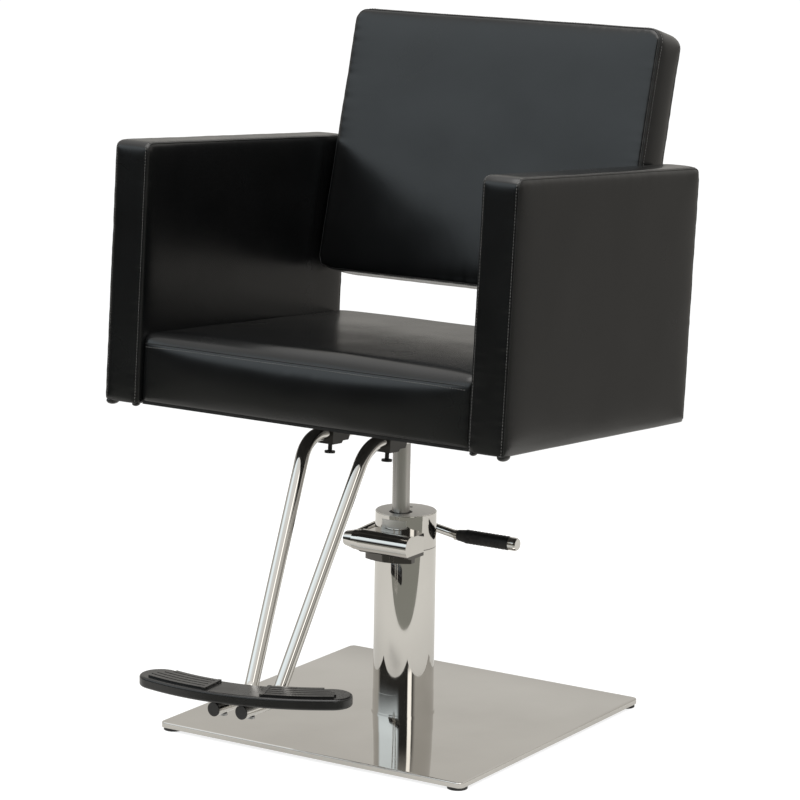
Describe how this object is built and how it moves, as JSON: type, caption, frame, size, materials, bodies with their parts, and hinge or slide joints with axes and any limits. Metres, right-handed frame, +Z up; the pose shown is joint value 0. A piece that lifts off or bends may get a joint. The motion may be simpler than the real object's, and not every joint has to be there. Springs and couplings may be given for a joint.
{
  "type": "hydraulic styling chair",
  "caption": "Salon styling chair: square mirror base, foot-pumped hydraulic column, black vinyl box armchair with a reclined back, and a sliding footrest on bent tubes.",
  "frame": {"origin": "on the floor, on the axis of the column", "axes": "+Z up; the sitter faces -Y; +X is the sitter's left"},
  "size_m": [0.6434, 0.7641, 0.9885],
  "materials": {
    "mirror_chrome": "mirror polished",
    "satin_steel": "satin",
    "plain_steel": "machined",
    "bronze": "machined",
    "black_rubber": "matte",
    "black_plastic": "semi-gloss, moulded",
    "grey_paint": "satin paint",
    "black_vinyl": "satin vinyl, fine grain",
    "foam": "open-cell foam",
    "plywood": "bare"
  },
  "bodies": {
    "base": {"base_cover": "mirror_chrome", "base_plate": "plain_steel", "base_feet": "black_rubber", "centre_pad": "black_rubber", "pump_flange": "plain_steel", "flange_bolts": "plain_steel", "column_foot_ring": "mirror_chrome", "column_sleeve": "mirror_chrome", "pump_reservoir": "plain_steel", "pump_cylinder": "plain_steel", "pump_head": "mirror_chrome", "ram_bushing": "bronze", "ram_wiper": "black_rubber", "filler_plug": "black_rubber", "head_label_plate": "satin_steel", "shaft_bushings": "bronze", "check_valve": "bronze", "plunger_spring": "plain_steel"},
    "lift": {"piston": "plain_steel", "piston_seal": "black_rubber"},
    "seat": {"ram": "satin_steel", "ram_retainer": "plain_steel", "seat_hub": "grey_paint", "bracket_plate": "grey_paint", "bracket_bolts": "plain_steel", "cross_bars": "grey_paint", "bar_screws": "plain_steel", "arm_bolts": "plain_steel", "tube_clamp_left": "grey_paint", "tube_clamp_right": "grey_paint", "seat_board": "plywood", "seat_foam": "foam", "seat_cover": "black_vinyl", "arm_frame_left": "plywood", "arm_foam_left": "foam", "arm_cover_left": "black_vinyl", "arm_frame_right": "plywood", "arm_foam_right": "foam", "arm_cover_right": "black_vinyl", "back_board": "plywood", "back_foam": "foam", "back_cover": "black_vinyl", "back_brackets": "grey_paint", "back_screws": "plain_steel"},
    "footrest": {"footrest_tube_left": "mirror_chrome", "footrest_tube_right": "mirror_chrome", "footrest_plate": "black_plastic", "tread_left": "black_plastic", "tread_right": "black_plastic", "tube_plugs": "black_rubber", "footrest_screws": "plain_steel"},
    "clamp_knob_left": {"clamp_screw_left": "black_plastic"},
    "clamp_knob_right": {"clamp_screw_right": "black_plastic"},
    "pedal": {"pedal_shaft": "plain_steel", "shaft_cam": "plain_steel", "shaft_end_cap": "mirror_chrome", "pedal_arm": "mirror_chrome", "pedal_grip": "black_rubber", "pedal_tip": "mirror_chrome"},
    "plunger": {"plunger": "plain_steel"}
  },
  "joints": [
    {"name": "seat_lift", "type": "slide", "parent": "base", "child": "lift", "axis": [0, 0, 1], "range_m": [-0.08, 0.065]},
    {"name": "seat_swivel", "type": "hinge", "parent": "lift", "child": "seat", "pos_m": [0, -0.014, 0.3], "axis": [0, 0, 1], "continuous": true},
    {"name": "footrest_slide", "type": "slide", "parent": "seat", "child": "footrest", "axis": [0, -0.9974, 0.0724], "range_m": [0, 0.04]},
    {"name": "clamp_screw_left_turn", "type": "hinge", "parent": "seat", "child": "clamp_knob_left", "pos_m": [0.047, -0.12657, 0.42238], "axis": [0, 0.0724, 0.9974], "range_deg": [0, 720]},
    {"name": "clamp_screw_right_turn", "type": "hinge", "parent": "seat", "child": "clamp_knob_right", "pos_m": [-0.047, -0.12657, 0.42238], "axis": [0, 0.0724, 0.9974], "range_deg": [0, 720]},
    {"name": "pedal_swing", "type": "hinge", "parent": "base", "child": "pedal", "pos_m": [0, -0.057, 0.2685], "axis": [1, 0, 0], "range_deg": [-25, 8], "stiffness_Nm_per_rad": 20, "springref_deg": 1.15},
    {"name": "plunger_stroke", "type": "slide", "parent": "base", "child": "plunger", "axis": [0, 0, -1], "range_m": [-0.0008, 0.0025], "deforming": ["plunger_spring"]}
  ],
  "couplings": [
    {"joint": "plunger_stroke", "follows": "pedal_swing", "m_per_rad": -0.0055}
  ]
}
